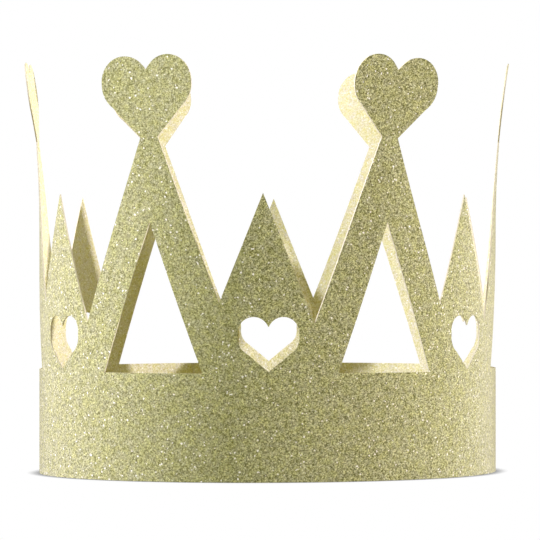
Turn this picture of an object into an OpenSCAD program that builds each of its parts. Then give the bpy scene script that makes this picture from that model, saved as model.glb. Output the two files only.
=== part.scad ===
// Paper crown: one strip of glitter card, cut into spikes and closed into a ring by a glue tab.
// Millimetres, +Z up. The rim stands on z = 0, the ring is centred on the Z axis, the front is at -Y.

/* [Ring] */
// Outside diameter of the closed ring if it stood quite round
ring_d = 172; // [150:1:195]
// How far the ring is pressed out of round: two of its arcs are tighter and two flatter by this much
squeeze = 8; // [0:0.5:12]
// Thickness of the card
card_t = 0.5; // [0.4:0.05:0.8]
// Height of the plain band below the spikes
band_h = 39; // [34:0.5:42]
// Repeats of the cut pattern round the ring
repeats = 6; // [6:1:6]

/* [Tall spikes] */
// Height of the narrow neck that carries the heart
neck_z = 124.4; // [115:0.1:135]
// Width of the card at the neck
neck_w = 6.7; // [5:0.1:9]
// Angle of the two edges from upright
tall_angle = 20.5; // [18:0.1:22]
// Distance of the spike to the right of the middle between two heart holes
tall_shift = 0.9; // [0:0.1:1.5]
// Width of the triangular window at its base
window_w = 40; // [30:0.5:42]
// Height of the triangular window
window_h = 54.5; // [44:0.5:56]
// Height at which the spikes begin to lean outwards
lean_z = 92; // [86:0.5:100]
// Outward lean of the hearts at their tops: front right, right and back right, and again round the back
lean = [5.5, 5, 2.2];

/* [Small spikes] */
// Height of the tip
tip_z = 103.9; // [98:0.1:112]
// Angle of the two edges from upright
small_angle = 21.7; // [20:0.1:24]
// Distance of the tip to the left of its heart hole
tip_shift = 2; // [0:0.1:3]

/* [Hearts] */
// Width of the heart on a tall spike
heart_w = 36.5; // [30:0.5:40]
// Depth of the heart's point below the neck
heart_sink = 3.9; // [2:0.1:5]
// Turn of the hearts on their necks, anticlockwise seen from outside, in the same order as the lean
heart_tilt = [-3.7, 0, 1.7];
// Width of the heart hole in a small spike
hole_w = 22.2; // [18:0.1:24]
// Distance of the hole's point above the band
hole_lift = 0.6; // [0.4:0.1:3]

/* [Glue tab] */
// Length of the tab beyond the line where the two ends of the strip meet
tab_l = 14; // [8:0.5:18]
// Distance of the tab from the rim below and from the notch above
tab_inset = 3; // [2:0.5:6]
// Width of the open line between the two ends
seam_gap = 0.4; // [0.3:0.05:0.6]

/* [Hidden] */
$fn = 180;
ring_r = ring_d / 2;
flat_r = ring_r + squeeze;
tight_r = ring_r - squeeze;
flat_len = PI / 2 * flat_r;
tight_len = PI / 2 * tight_r;
half_len = flat_len + tight_len;
pitch = 2 * half_len / repeats;
// The front heart hole stands on the centre line, on the flat arc that starts at the front.
front_s = flat_r * asin(squeeze / flat_r) * PI / 180;
tall_slope = tan(tall_angle);
small_slope = tan(small_angle);
// Shares of a heart's width: radius of a lobe, its height above the point, and the same two of a cheek
heart_shares = [0.26, 0.645, 0.27, 0.62];
hole_shares = [0.257, 0.632, 0.283, 0.544];
// Share of a cheek's radius at which the straight side passes its centre
side_share = 0.985;
// How far the straight heart is set in, so that the curved neck covers it from edge to edge
heart_set = card_t / 5;
heart_z = neck_z - heart_sink;
heart_top = heart_z + (heart_shares[0] + heart_shares[1]) * heart_w;
// Depth of the cutting outlines to each side of the wall, and their overshoot past an edge
reach = ring_r / 3;
over = 2;
// The notch to the right of a small spike, where a tall spike's left edge meets it
notch_z = (small_slope * tip_z + tall_slope * neck_z + neck_w / 2 - tip_shift - tall_shift - pitch / 2)
          / (small_slope + tall_slope);
notch_s = small_slope * (tip_z - notch_z) - tip_shift;
// The ends of the strip meet at this notch of the small spike at the back.
seam_s = floor(repeats / 2) * pitch + notch_s;
// How far the tab is sunk into the card that it is glued to, and held behind its own end
tab_bond = card_t / 5;
tab_hold = 4;
tab_bevel = 5;

// Place on the ring at a distance s round the card, to the right from the front heart hole
function half_of(s) = floor((s + front_s) / half_len);
function along(s) = s + front_s - half_of(s) * half_len;
function on_flat(s) = along(s) < flat_len;
function arc_r(s) = on_flat(s) ? flat_r : tight_r;
function bearing(s) = on_flat(s) ? along(s) / flat_len * 90 : 90 + (along(s) - flat_len) / tight_len * 90;

// The outside of the ring at s, brought to the front: x runs to the right, -Y runs outwards
module stand_at(s) {
    rotate(180 * half_of(s))
        translate([on_flat(s) ? -squeeze : squeeze, squeeze])
            rotate(bearing(s))
                translate([0, -arc_r(s)])
                    children();
}

// Flat outline stood against the ring at s: its x runs to the right, its y runs up
module cut_at(s) {
    stand_at(s)
        rotate([90, 0, 0])
            linear_extrude(2 * reach, center = true)
                children();
}

// Card section carried straight across at s, its outside face drawn on x = 0
module straight_across(s) {
    stand_at(s)
        rotate([90, 0, -90])
            linear_extrude(2 * heart_w, center = true)
                children();
}

// Card section carried round the four arcs of the ring, its outside face drawn on x = 0
module round_ring() {
    for (half = [0, 180])
        rotate(half) {
            translate([-squeeze, squeeze])
                rotate(-90)
                    rotate_extrude(angle = 90)
                        translate([flat_r, 0])
                            children();
            translate([squeeze, squeeze])
                rotate_extrude(angle = 90)
                    translate([tight_r, 0])
                        children();
        }
}

// Heart with its point at the origin: round lobes on fuller cheeks, and straight sides just inside the cheeks
module heart(w, shares) {
    lobe_r = shares[0] * w;
    lobe = [w / 2 - lobe_r, shares[1] * w];
    cheek_r = shares[2] * w;
    cheek = [w / 2 - cheek_r, shares[3] * w];
    side_r = side_share * cheek_r;
    side_angle = atan(cheek.x / cheek.y) + asin(side_r / norm(cheek));
    side = cheek + side_r * [cos(side_angle), -sin(side_angle)];
    polygon([[0, 0], side, cheek, [-cheek.x, cheek.y], [-side.x, side.y]]);
    for (x = [-1, 1]) {
        translate([x * cheek.x, cheek.y])
            circle(cheek_r);
        translate([x * lobe.x, lobe.y])
            circle(lobe_r);
    }
}

module tall_spike_outline() {
    foot_y = band_h / 2;
    foot = neck_w / 2 + tall_slope * (neck_z - foot_y);
    polygon([[-foot, foot_y], [foot, foot_y], [neck_w / 2, neck_z], [-neck_w / 2, neck_z]]);
}

module heart_outline(i) {
    translate([0, heart_z])
        rotate(heart_tilt[i % len(heart_tilt)])
            heart(heart_w, heart_shares);
}

module small_spike_outline() {
    foot_y = band_h / 2;
    foot = small_slope * (tip_z - foot_y);
    polygon([[-foot, foot_y], [foot, foot_y], [0, tip_z]]);
}

module window_outline() {
    polygon([[-window_w / 2, band_h], [window_w / 2, band_h], [0, band_h + window_h]]);
}

// Section of a tall spike: upright, then bent outwards on one arc that reaches out at the top of the heart
module tall_section(out) {
    rise = heart_top - lean_z;
    bend_r = (rise * rise + out * out) / (2 * out);
    translate([-card_t, 0])
        square([card_t, lean_z]);
    intersection() {
        translate([bend_r, lean_z])
            difference() {
                circle(bend_r + card_t);
                circle(bend_r);
            }
        translate([-over, lean_z])
            square([2 * over + 2 * out, rise + over]);
    }
}

module tall_spike_at(i) {
    cut_at((i + 0.5) * pitch + tall_shift)
        children();
}

module band_and_small_spikes() {
    intersection() {
        round_ring()
            translate([-card_t, 0])
                square([card_t, tip_z + over]);
        union() {
            cylinder(r = ring_d, h = band_h);
            for (i = [0 : repeats - 1])
                cut_at(i * pitch - tip_shift)
                    small_spike_outline();
        }
    }
}

module tall_spike(i) {
    intersection() {
        round_ring()
            tall_section(lean[i % len(lean)]);
        tall_spike_at(i)
            tall_spike_outline();
    }
}

// The narrow neck doesn't carry the ring's bend on into the heart, so the heart stays straight across.
module top_heart(i) {
    intersection() {
        straight_across((i + 0.5) * pitch + tall_shift)
            translate([-heart_set, 0])
                tall_section(lean[i % len(lean)]);
        tall_spike_at(i)
            heart_outline(i);
    }
}

// Tab on the inside of the ring, with its free corners cut away
module glue_tab() {
    top = notch_z - tab_inset;
    intersection() {
        round_ring()
            translate([-2 * card_t, 0])
                square([card_t + tab_bond, notch_z]);
        cut_at(seam_s)
            polygon([
                [-tab_hold, tab_inset],
                [tab_l, tab_inset + tab_bevel],
                [tab_l, top - tab_bevel],
                [-tab_hold, top]
            ]);
    }
}

module seam_line() {
    intersection() {
        round_ring()
            translate([tab_bond - card_t, -over])
                square([card_t + over, notch_z + 2 * over]);
        cut_at(seam_s)
            translate([-seam_gap / 2, -over])
                square([seam_gap, notch_z + 2 * over]);
    }
}

module crown() {
    color("DarkKhaki")
        difference() {
            union() {
                band_and_small_spikes();
                for (i = [0 : repeats - 1]) {
                    tall_spike(i);
                    top_heart(i);
                }
                glue_tab();
            }
            for (i = [0 : repeats - 1]) {
                tall_spike_at(i)
                    window_outline();
                cut_at(i * pitch)
                    translate([0, band_h + hole_lift])
                        heart(hole_w, hole_shares);
            }
            seam_line();
        }
}

crown();
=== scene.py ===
"""Looks of the paper crown: glitter card, its pale cut edges, and the studio of the photograph."""

import math

import bmesh
import bpy
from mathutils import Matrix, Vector


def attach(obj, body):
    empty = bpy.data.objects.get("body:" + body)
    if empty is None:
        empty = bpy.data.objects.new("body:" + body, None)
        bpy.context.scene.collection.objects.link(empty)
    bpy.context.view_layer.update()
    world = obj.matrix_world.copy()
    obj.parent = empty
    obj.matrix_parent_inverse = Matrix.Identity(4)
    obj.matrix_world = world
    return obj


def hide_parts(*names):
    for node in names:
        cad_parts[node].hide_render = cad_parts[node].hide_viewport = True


MM = 0.001

# Camera of the photograph, as fitted to it: far away, almost level, the picture shifted a little
CAMERA_DISTANCE = 1706 * MM
CAMERA_HEIGHT = 81.5 * MM
LENS_MM = 301.3
SHIFT_RIGHT = 0.0026
SHIFT_UP = -0.0274

# Middle of the crown, which the lamps look at
CROWN_MIDDLE = Vector((0, 0, 80 * MM))

# Two arcs of the ring are tighter and two flatter than a circle by this much
SQUEEZE = 8 * MM
# Height of the necks: the card is round below them, and straight across in the hearts above them
NECK_HEIGHT = 124.4 * MM
# Corners of the card's mesh that are closer than this are one corner
MERGE_DISTANCE = 0.001 * MM
# Edges at which the card's mesh turns by more than this stay sharp
SHARP_ANGLE = math.radians(35)

# Finishes of the card, in the order of its materials
OUTSIDE, INSIDE, CUT_EDGE = range(3)
# A face belongs to the outside or inside if it looks this much away from or towards the axis
FACE_LIMIT = 0.45

# Glitter: sizes of the flakes, the dust between them, clumps, painted glints and patches of one
# hue
FLAKE = 0.33 * MM
DUST = 0.24 * MM
CLUMP = 0.8 * MM
PAINTED_GLINT_CELL = 0.55 * MM
PATCH = 2.5 * MM
PATCH_DETAIL = 1
PATCH_CONTRAST = 3
# What flakes, dust and clumps add to the tone, and how far out, in cells, a clump is still lighter
FLAKE_TONE = 0.6
DUST_TONE = 0.2
CLUMP_TONE = 0.5
CLUMP_REACH = 0.75
TONE_POWER = 1.4
# Middle of a random value or of noise, which both run from 0 to 1
MIDDLE = 0.5
# How far the flakes tilt, how rough they are, and how much smoother a painted glint is (its
# smoothness is real)
FLAKE_TILT = 0.3
FLAKE_ROUGHNESS = 0.75
SPARKLE_SMOOTHER = 0.4
GLITTER_SPECULAR = 0.05
SHEEN_ROUGHNESS = 0.4
# Share of the glint cells that get a painted glint, and weight of the sheen
OUTSIDE_PAINTED_GLINTS, INSIDE_PAINTED_GLINTS = 0.025, 0.03
OUTSIDE_SHEEN, INSIDE_SHEEN = 0.8, 0

# Linear colours of the glitter
GOLD_DEEP = (0.103, 0.1045, 0.0155, 1)
GOLD_LIGHT = (0.78, 0.778, 0.391, 1)
INSIDE_DEEP = (0.57, 0.53, 0.205, 1)
INSIDE_LIGHT = (0.87, 0.86, 0.705, 1)
# Painted glint: a pale colour on a few smoother spots that stands in for flakes catching the lamps
PAINTED_GLINT = (0.95, 0.935, 0.78, 1)
# Tints that the gold is multiplied by, from flake to flake and from patch to patch
WARM = (1.03, 0.99, 0.93, 1)
COOL = (0.97, 1.0, 1.07, 1)
OLIVE = (1.01, 1.02, 0.87, 1)
GREY = (0.985, 0.985, 1.09, 1)

# Cut edges: colours of the fibres, cells of their grain to a metre, and roughness
CORE_DARK = (0.54, 0.50, 0.34, 1)
CORE_LIGHT = (0.82, 0.77, 0.60, 1)
CORE_GRAIN = 900
CORE_ROUGHNESS = 0.8

# Studio: the weak warm light that the room throws back, and the colours of the lamps
BOUNCE = (1.0, 0.91, 0.06, 1)
BOUNCE_STRENGTH = 0.056
WHITE = (1, 1, 1, 1)
LAMP = (0.985, 0.972, 1.18)
SIDE_LAMP = (1.03, 0.95, 1.13)
LEFT_RIM_LAMP = (1.05, 0.945, 1.4)
INNER_FILL = BOUNCE[:3]

# Table: half its width, and its colour and roughness to all but the camera
TABLE_REACH = 6
TABLE = (0.35, 0.33, 0.14, 1)
TABLE_ROUGHNESS = 0.9
# Painted contact shadow, a dark line under the rim: how near the card is, which way the table
# looks for it, and how it fades
PAINTED_SHADOW_REACH = 5 * MM
PAINTED_SHADOW_WAY = (0, 0.9, 0.44)
PAINTED_SHADOW_POWER = 2

# Sockets of a mix node that mixes colours
MIX_FACTOR, MIX_FIRST, MIX_SECOND, MIX_RESULT = 0, 6, 7, 2


def set_or_link(tree, socket, value):
    """Give a socket its constant, or the output of another node."""
    if isinstance(value, bpy.types.NodeSocket):
        tree.links.new(value, socket)
    else:
        socket.default_value = value


def maths(tree, kind, first, second):
    """Result of a sum on two values."""
    node = tree.nodes.new("ShaderNodeMath")
    node.operation = kind
    set_or_link(tree, node.inputs[0], first)
    set_or_link(tree, node.inputs[1], second)
    return node.outputs[0]


def vector_maths(tree, kind, first, second=None):
    """Result of a sum on one or two vectors, or on a vector and its scale."""
    node = tree.nodes.new("ShaderNodeVectorMath")
    node.operation = kind
    set_or_link(tree, node.inputs[0], first)
    if second is not None:
        set_or_link(tree, node.inputs["Scale" if kind == "SCALE" else 1], second)
    return node.outputs[0]


def mix_colours(tree, factor, first, second, blend="MIX"):
    """Two colours mixed or multiplied."""
    node = tree.nodes.new("ShaderNodeMix")
    node.data_type = "RGBA"
    node.blend_type = blend
    set_or_link(tree, node.inputs[MIX_FACTOR], factor)
    set_or_link(tree, node.inputs[MIX_FIRST], first)
    set_or_link(tree, node.inputs[MIX_SECOND], second)
    return node.outputs[MIX_RESULT]


def cells(tree, place, size):
    """Cells all over the card: the random colour of each, and the distance from its middle."""
    node = tree.nodes.new("ShaderNodeTexVoronoi")
    node.inputs["Scale"].default_value = 1 / size
    tree.links.new(place, node.inputs["Vector"])
    return node.outputs["Color"], node.outputs["Distance"]


def random_values(tree, colour):
    """Two random values from a cell's random colour."""
    node = tree.nodes.new("ShaderNodeSeparateColor")
    tree.links.new(colour, node.inputs["Color"])
    return node.outputs["Red"], node.outputs["Green"]


def glitter_tone(tree, place, flake_value):
    """How light the glitter is: by flake, by grain of dust, and by place in a clump."""
    dust, _ = cells(tree, place, DUST)
    dust_value, _ = random_values(tree, dust)
    _, from_clump = cells(tree, place, CLUMP)
    by_flake = maths(tree, "MULTIPLY", flake_value, FLAKE_TONE)
    by_dust = maths(tree, "MULTIPLY", dust_value, DUST_TONE)
    within_clump = maths(tree, "SUBTRACT", CLUMP_REACH, from_clump)
    by_clump = maths(tree, "MULTIPLY", within_clump, CLUMP_TONE)
    tone = maths(tree, "ADD", maths(tree, "ADD", by_flake, by_dust), by_clump)
    return maths(tree, "POWER", tone, TONE_POWER)


def painted_glint_mask(tree, place, share):
    """Mask of the painted glints: 1 on a share of the glint cells, within a random distance of
    their middles, or else 0.
    """
    spots, from_spot = cells(tree, place, PAINTED_GLINT_CELL)
    chance, spot_size = random_values(tree, spots)
    chosen = maths(tree, "LESS_THAN", chance, share)
    on_spot = maths(tree, "LESS_THAN", from_spot, spot_size)
    return maths(tree, "MULTIPLY", chosen, on_spot)


def patch_tint(tree, place):
    """Tint that drifts between olive and grey over the card."""
    noise = tree.nodes.new("ShaderNodeTexNoise")
    noise.inputs["Scale"].default_value = 1 / PATCH
    noise.inputs["Detail"].default_value = PATCH_DETAIL
    tree.links.new(place, noise.inputs["Vector"])
    drift = maths(tree, "SUBTRACT", noise.outputs["Fac"], MIDDLE)
    strong_drift = maths(tree, "MULTIPLY", drift, PATCH_CONTRAST)
    return mix_colours(tree, maths(tree, "ADD", MIDDLE, strong_drift), OLIVE, GREY)


def flake_normal(tree, flakes, tilt):
    """Normal of the card, tilted by each flake in its own way."""
    card_normal = tree.nodes.new("ShaderNodeNewGeometry").outputs["Normal"]
    lean = vector_maths(tree, "SUBTRACT", flakes, (MIDDLE, MIDDLE, MIDDLE))
    tilted = vector_maths(tree, "ADD", card_normal, vector_maths(tree, "SCALE", lean, tilt))
    return vector_maths(tree, "NORMALIZE", tilted)


def glitter_group():
    """Node group: colour, roughness and normal of glitter whose flakes each tilt their own way,
    with painted glints.
    """
    tree = bpy.data.node_groups.new("glitter", "ShaderNodeTree")
    for side, sockets in (
        ("INPUT", {"Deep": "Color", "Light": "Color", "Tilt": "Float", "Painted glint share": "Float"}),
        ("OUTPUT", {"Color": "Color", "Roughness": "Float", "Normal": "Vector"}),
    ):
        for name, kind in sockets.items():
            tree.interface.new_socket(name, in_out=side, socket_type="NodeSocket" + kind)
    given = tree.nodes.new("NodeGroupInput").outputs
    made = tree.nodes.new("NodeGroupOutput").inputs
    place = tree.nodes.new("ShaderNodeTexCoord").outputs["Object"]

    flakes, _ = cells(tree, place, FLAKE)
    flake_value, flake_hue = random_values(tree, flakes)
    tone = glitter_tone(tree, place, flake_value)
    gold = mix_colours(tree, tone, given["Deep"], given["Light"])
    for tint in (mix_colours(tree, flake_hue, WARM, COOL), patch_tint(tree, place)):
        gold = mix_colours(tree, 1, gold, tint, "MULTIPLY")

    # Painted glints: a few spots get a pale colour that stands in for flakes catching the lamps;
    # they are also smoother, which is real
    painted_glint = painted_glint_mask(tree, place, given["Painted glint share"])
    smoother = maths(tree, "MULTIPLY", painted_glint, SPARKLE_SMOOTHER)
    tree.links.new(mix_colours(tree, painted_glint, gold, PAINTED_GLINT), made["Color"])
    tree.links.new(maths(tree, "SUBTRACT", FLAKE_ROUGHNESS, smoother), made["Roughness"])
    tree.links.new(flake_normal(tree, flakes, given["Tilt"]), made["Normal"])
    return tree


def new_material(name):
    """A material with its node tree and its shader."""
    material = bpy.data.materials.new(name)
    material.use_nodes = True
    tree = material.node_tree
    return material, tree, tree.nodes["Principled BSDF"]


def glitter_material(name, group, deep, light, painted_glint_share, sheen):
    """One face of the card, covered with glitter from deep to light."""
    material, tree, shader = new_material(name)
    glitter = tree.nodes.new("ShaderNodeGroup")
    glitter.node_tree = group
    glitter.inputs["Deep"].default_value = deep
    glitter.inputs["Light"].default_value = light
    glitter.inputs["Tilt"].default_value = FLAKE_TILT
    glitter.inputs["Painted glint share"].default_value = painted_glint_share
    tree.links.new(glitter.outputs["Color"], shader.inputs["Base Color"])
    tree.links.new(glitter.outputs["Roughness"], shader.inputs["Roughness"])
    tree.links.new(glitter.outputs["Normal"], shader.inputs["Normal"])
    shader.inputs["Specular IOR Level"].default_value = GLITTER_SPECULAR
    shader.inputs["Sheen Weight"].default_value = sheen
    shader.inputs["Sheen Roughness"].default_value = SHEEN_ROUGHNESS
    return material


def core_material():
    """Cut edge of the card: pale fibres with a little grain."""
    material, tree, shader = new_material("card_core")
    place = tree.nodes.new("ShaderNodeTexCoord").outputs["Object"]
    noise = tree.nodes.new("ShaderNodeTexNoise")
    noise.inputs["Scale"].default_value = CORE_GRAIN
    ramp = tree.nodes.new("ShaderNodeValToRGB")
    for stop, colour in zip(ramp.color_ramp.elements, (CORE_DARK, CORE_LIGHT)):
        stop.color = colour
    tree.links.new(place, noise.inputs["Vector"])
    tree.links.new(noise.outputs["Fac"], ramp.inputs["Fac"])
    tree.links.new(ramp.outputs["Color"], shader.inputs["Base Color"])
    shader.inputs["Roughness"].default_value = CORE_ROUGHNESS
    return material


def add_object(name, data):
    """A new object in the scene, at the origin."""
    added = bpy.data.objects.new(name, data)
    bpy.context.scene.collection.objects.link(added)
    return added


def finish_of(face):
    """Which finish a face of the card gets, by the way that it looks."""
    centre = face.calc_center_median()
    outwards = face.normal.dot(Vector((centre.x, centre.y, 0)).normalized())
    if outwards > FACE_LIMIT:
        return OUTSIDE
    if outwards < -FACE_LIMIT:
        return INSIDE
    return CUT_EDGE


def arc_centre(x, y):
    """Centre of the arc that a point lies on: the ring's plan is four arcs that meet smoothly."""
    if x > -SQUEEZE and y < SQUEEZE:
        return -SQUEEZE, SQUEEZE
    if x > SQUEEZE:
        return SQUEEZE, SQUEEZE
    if y > -SQUEEZE:
        return SQUEEZE, -SQUEEZE
    return -SQUEEZE, -SQUEEZE


def round_normal(point, face):
    """Normal of the true curve at a point of a card face."""
    centre_x, centre_y = arc_centre(point.x, point.y)
    level = Vector((point.x - centre_x, point.y - centre_y, 0)).normalized()
    if level.dot(face.normal) < 0:
        level.negate()
    return level * math.sqrt(1 - face.normal.z ** 2) + Vector((0, 0, face.normal.z))


def card_normals(mesh):
    """A normal for each corner of each face: true to the arcs on the card below the necks."""
    normals = []
    for face in mesh.polygons:
        is_round = face.material_index != CUT_EDGE and face.center.z < NECK_HEIGHT
        for vertex in face.vertices:
            corner = mesh.vertices[vertex].co
            normals.append(round_normal(corner, face) if is_round else face.normal.copy())
    return normals


def card_mesh(node):
    """The solid's own mesh, with each face given its finish."""
    bm = bmesh.new()
    bm.from_mesh(node.data)
    bmesh.ops.remove_doubles(bm, verts=bm.verts, dist=MERGE_DISTANCE)
    for face in bm.faces:
        face.smooth = True
        face.material_index = finish_of(face)
    mesh = bpy.data.meshes.new("crown_card")
    bm.to_mesh(mesh)
    bm.free()
    mesh.set_sharp_from_angle(angle=SHARP_ANGLE)
    mesh.normals_split_custom_set(card_normals(mesh))
    return mesh


def build_card(node):
    """The card, with separate finishes for the outside, the inside and the cut edges."""
    mesh = card_mesh(node)
    group = glitter_group()
    outside = glitter_material(
        "glitter_outside", group, GOLD_DEEP, GOLD_LIGHT, OUTSIDE_PAINTED_GLINTS, OUTSIDE_SHEEN
    )
    inside = glitter_material(
        "glitter_inside", group, INSIDE_DEEP, INSIDE_LIGHT, INSIDE_PAINTED_GLINTS, INSIDE_SHEEN
    )
    for material in (outside, inside, core_material()):
        mesh.materials.append(material)
    return add_object("crown_card", mesh)


def camera_ray_mix(tree, seen, others, target):
    """What the camera and clear reflections see of a surface, and what all other rays get."""
    path = tree.nodes.new("ShaderNodeLightPath").outputs
    seeing = path["Is Camera Ray"]
    for ray in ("Is Glossy Ray", "Is Transmission Ray"):
        seeing = maths(tree, "MAXIMUM", seeing, path[ray])
    mixer = tree.nodes.new("ShaderNodeMixShader")
    for value, socket in zip((seeing, others, seen), mixer.inputs):
        tree.links.new(value, socket)
    tree.links.new(mixer.outputs[0], target)


def table_material():
    """White to the camera, with a painted contact shadow as a thin dark line where the rim stands,
    and warm to the crown.
    """
    material, tree, shader = new_material("white_table")
    shader.inputs["Base Color"].default_value = TABLE
    shader.inputs["Roughness"].default_value = TABLE_ROUGHNESS
    # Painted shadow: occlusion near the rim darkens the table's white glow
    painted_shadow_occlusion = tree.nodes.new("ShaderNodeAmbientOcclusion")
    painted_shadow_occlusion.inputs["Distance"].default_value = PAINTED_SHADOW_REACH
    way = tree.nodes.new("ShaderNodeCombineXYZ")
    for axis, part in zip("XYZ", PAINTED_SHADOW_WAY):
        way.inputs[axis].default_value = part
    tree.links.new(way.outputs[0], painted_shadow_occlusion.inputs["Normal"])
    glow = tree.nodes.new("ShaderNodeEmission")
    painted_shadow = maths(tree, "POWER", painted_shadow_occlusion.outputs["AO"], PAINTED_SHADOW_POWER)
    tree.links.new(painted_shadow, glow.inputs["Strength"])
    surface = tree.nodes["Material Output"].inputs["Surface"]
    camera_ray_mix(tree, glow.outputs[0], shader.outputs[0], surface)
    return material


def build_floor():
    """The table that the crown stands on."""
    bm = bmesh.new()
    bmesh.ops.create_grid(bm, x_segments=1, y_segments=1, size=TABLE_REACH)
    mesh = bpy.data.meshes.new("floor")
    bm.to_mesh(mesh)
    bm.free()
    mesh.materials.append(table_material())
    return add_object("floor", mesh)


def build_world():
    """White to the camera, and a weak warm light from all sides to the crown."""
    world = bpy.data.worlds.new("studio")
    bpy.context.scene.world = world
    world.use_nodes = True
    tree = world.node_tree
    room = tree.nodes["Background"]
    room.inputs["Color"].default_value = BOUNCE
    room.inputs["Strength"].default_value = BOUNCE_STRENGTH
    white = tree.nodes.new("ShaderNodeBackground")
    white.inputs["Color"].default_value = WHITE
    white.inputs["Strength"].default_value = 1
    surface = tree.nodes["World Output"].inputs["Surface"]
    camera_ray_mix(tree, white.outputs[0], room.outputs[0], surface)


def add_light(name, colour, watts, bearing, rise, size, distance=1):
    """Square lamp at a bearing from the front, towards the right, that looks at the crown."""
    lamp = bpy.data.lights.new(name, "AREA")
    lamp.energy = watts
    lamp.size = size
    lamp.color = colour
    light = add_object(name, lamp)
    turn, lift = math.radians(bearing), math.radians(rise)
    right, back = math.sin(turn) * math.cos(lift), -math.cos(turn) * math.cos(lift)
    light.location = CROWN_MIDDLE + distance * Vector((right, back, math.sin(lift)))
    aim = CROWN_MIDDLE - light.location
    light.rotation_euler = aim.to_track_quat("-Z", "Y").to_euler()


def build_lights():
    """Two small lamps for sharp shadows inside, two soft ones for the sides, and a weak fill."""
    add_light("left lamp", LAMP, watts=10.6, bearing=-55, rise=32, size=0.02)
    add_light("left rim lamp", LEFT_RIM_LAMP, watts=8.4, bearing=-100, rise=10, size=0.3)
    add_light("right lamp", SIDE_LAMP, watts=11.4, bearing=82.5, rise=3, size=0.02)
    add_light("right rim lamp", SIDE_LAMP, watts=5.6, bearing=135, rise=10, size=0.3)
    add_light("inner fill", INNER_FILL, watts=0.5, bearing=0, rise=90, size=0.05, distance=0.45)


def build_camera():
    """The photograph's own view of the crown."""
    camera = add_object("camera", bpy.data.cameras.new("camera"))
    camera.location = (0, -CAMERA_DISTANCE, CAMERA_HEIGHT)
    camera.rotation_euler = (math.pi / 2, 0, 0)
    camera.data.lens = LENS_MM
    camera.data.shift_x = SHIFT_RIGHT
    camera.data.shift_y = SHIFT_UP
    bpy.context.scene.camera = camera


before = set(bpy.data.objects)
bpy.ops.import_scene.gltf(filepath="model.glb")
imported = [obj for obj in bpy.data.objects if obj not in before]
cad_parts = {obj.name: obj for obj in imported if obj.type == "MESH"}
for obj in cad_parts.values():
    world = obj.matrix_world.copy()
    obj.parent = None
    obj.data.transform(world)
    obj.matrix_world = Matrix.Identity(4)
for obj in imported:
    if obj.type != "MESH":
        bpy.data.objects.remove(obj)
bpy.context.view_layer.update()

card = build_card(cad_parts["crown"])
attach(card, "root")
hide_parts("crown")

build_floor()
build_world()
build_lights()
build_camera()
bpy.context.scene.view_settings.view_transform = "Standard"
